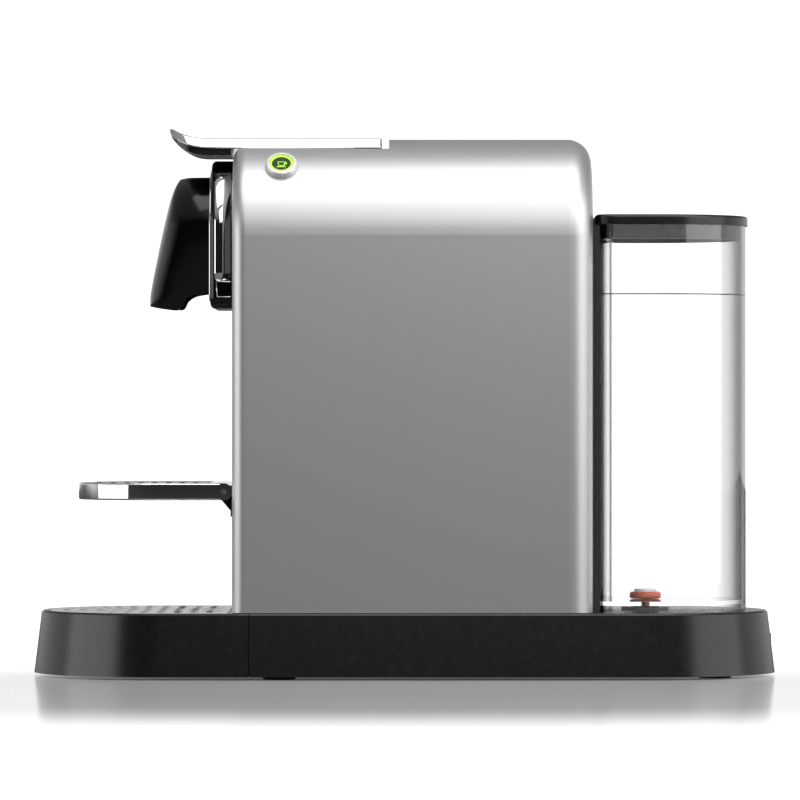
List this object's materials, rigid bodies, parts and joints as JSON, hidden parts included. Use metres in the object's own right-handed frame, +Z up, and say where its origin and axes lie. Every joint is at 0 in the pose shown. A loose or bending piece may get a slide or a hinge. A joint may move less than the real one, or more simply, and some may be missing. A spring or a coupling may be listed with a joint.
{
  "type": "pod coffee machine",
  "caption": "Slim pod coffee machine with an arched body on a long stadium base, capsule lever, folding cup support, drip drawer and clear rear water tank.",
  "frame": {"origin": "centre of the whole machine's footprint, on the surface it stands on", "axes": "+Z up, -Y is the front with the coffee outlet, +Y is the rear with the tank, X across the machine"},
  "size_m": [0.13, 0.372, 0.2735],
  "materials": {
    "satin_silver": "satin",
    "black_gloss": "gloss",
    "black_satin": "satin",
    "lid_grey": "gloss",
    "chrome": "polished",
    "steel": "brushed",
    "inner_plastic": "matte",
    "aluminium_cast": "cast",
    "board_green": "matte",
    "rubber_black": "matte",
    "hose_clear": "satin",
    "bezel_pale": "satin",
    "button_dark": "gloss",
    "button_light": "gloss",
    "tank_clear": "gloss",
    "guide_smoke": "gloss",
    "valve_red": "satin",
    "valve_white": "satin"
  },
  "bodies": {
    "machine": {"body_shell": "satin_silver", "front_panel": "black_gloss", "rear_panel": "black_satin", "panel_screws": "steel", "recess_tray": "black_satin", "head_frame": "black_gloss", "head_band": "chrome", "head_trim": "chrome", "head_cap": "chrome", "outlet_hood": "black_gloss", "outlet_nozzle": "black_satin", "brew_frame": "inner_plastic", "extraction_plate": "steel", "coffee_duct": "inner_plastic", "feed_pipe": "steel", "button_bezels": "bezel_pale", "button_boards": "board_green", "base_shell": "black_satin", "base_plate": "black_satin", "base_screws": "steel", "rubber_feet": "rubber_black", "cord_gland": "black_satin", "chassis": "inner_plastic", "heater_block": "aluminium_cast", "heating_element": "steel", "thermostat": "inner_plastic", "pump": "inner_plastic", "pump_mounts": "rubber_black", "flow_meter": "inner_plastic", "suction_hose": "hose_clear", "link_hose": "hose_clear", "pressure_hose": "hose_clear", "control_board": "board_green", "tank_dock": "black_satin", "dock_seal": "rubber_black", "tank_guides": "guide_smoke"},
    "lever": {"lever_plate": "chrome", "lever_liner": "black_satin", "lever_cams": "inner_plastic", "lever_axle": "steel"},
    "cage": {"capsule_cage": "inner_plastic", "drive_pins": "steel", "piercer": "steel"},
    "espresso_button": {"espresso_cap": "button_dark", "espresso_ring": "button_light"},
    "lungo_button": {"lungo_cap": "button_dark", "lungo_ring": "button_light"},
    "drawer": {"drip_tray": "black_satin", "capsule_bin": "black_satin", "bin_front": "black_gloss", "support_bracket": "black_gloss", "support_pin": "steel"},
    "grid": {"drip_grid": "steel"},
    "support": {"cup_support": "chrome", "support_deck": "steel"},
    "tank": {"water_tank": "tank_clear"},
    "valve": {"valve_plunger": "valve_red", "valve_cap": "valve_white"},
    "lid": {"tank_lid": "lid_grey", "lid_skirt": "lid_grey"}
  },
  "joints": [
    {"name": "lever_hinge", "type": "hinge", "parent": "machine", "child": "lever", "pos_m": [0, -0.022, 0.26], "axis": [-1, 0, 0], "range_deg": [0, 92]},
    {"name": "cage_slide", "type": "slide", "parent": "machine", "child": "cage", "axis": [0, 1, 0], "range_m": [0, 0.028]},
    {"name": "espresso_press", "type": "slide", "parent": "machine", "child": "espresso_button", "axis": [-0.7193, 0, -0.6947], "range_m": [0, 0.0012], "stiffness_N_per_m": 900},
    {"name": "lungo_press", "type": "slide", "parent": "machine", "child": "lungo_button", "axis": [0.7193, 0, -0.6947], "range_m": [0, 0.0012], "stiffness_N_per_m": 900},
    {"name": "drawer_slide", "type": "slide", "parent": "machine", "child": "drawer", "axis": [0, -1, 0], "range_m": [0, 0.2]},
    {"name": "grid_lift", "type": "slide", "parent": "drawer", "child": "grid", "axis": [0, 0, 1], "range_m": [0, 0.05]},
    {"name": "support_hinge", "type": "hinge", "parent": "drawer", "child": "support", "pos_m": [0, -0.0898, 0.09245], "axis": [-1, 0, 0], "range_deg": [0, 88]},
    {"name": "tank_lift", "type": "slide", "parent": "machine", "child": "tank", "axis": [0, 0, 1], "range_m": [0, 0.12]},
    {"name": "valve_press", "type": "slide", "parent": "tank", "child": "valve", "axis": [0, 0, 1], "range_m": [0, 0.0015], "stiffness_N_per_m": 400},
    {"name": "lid_lift", "type": "slide", "parent": "tank", "child": "lid", "axis": [0, 0, 1], "range_m": [0, 0.08]}
  ],
  "couplings": [
    {"joint": "cage_slide", "follows": "lever_hinge", "m_per_rad": 0.01743}
  ]
}
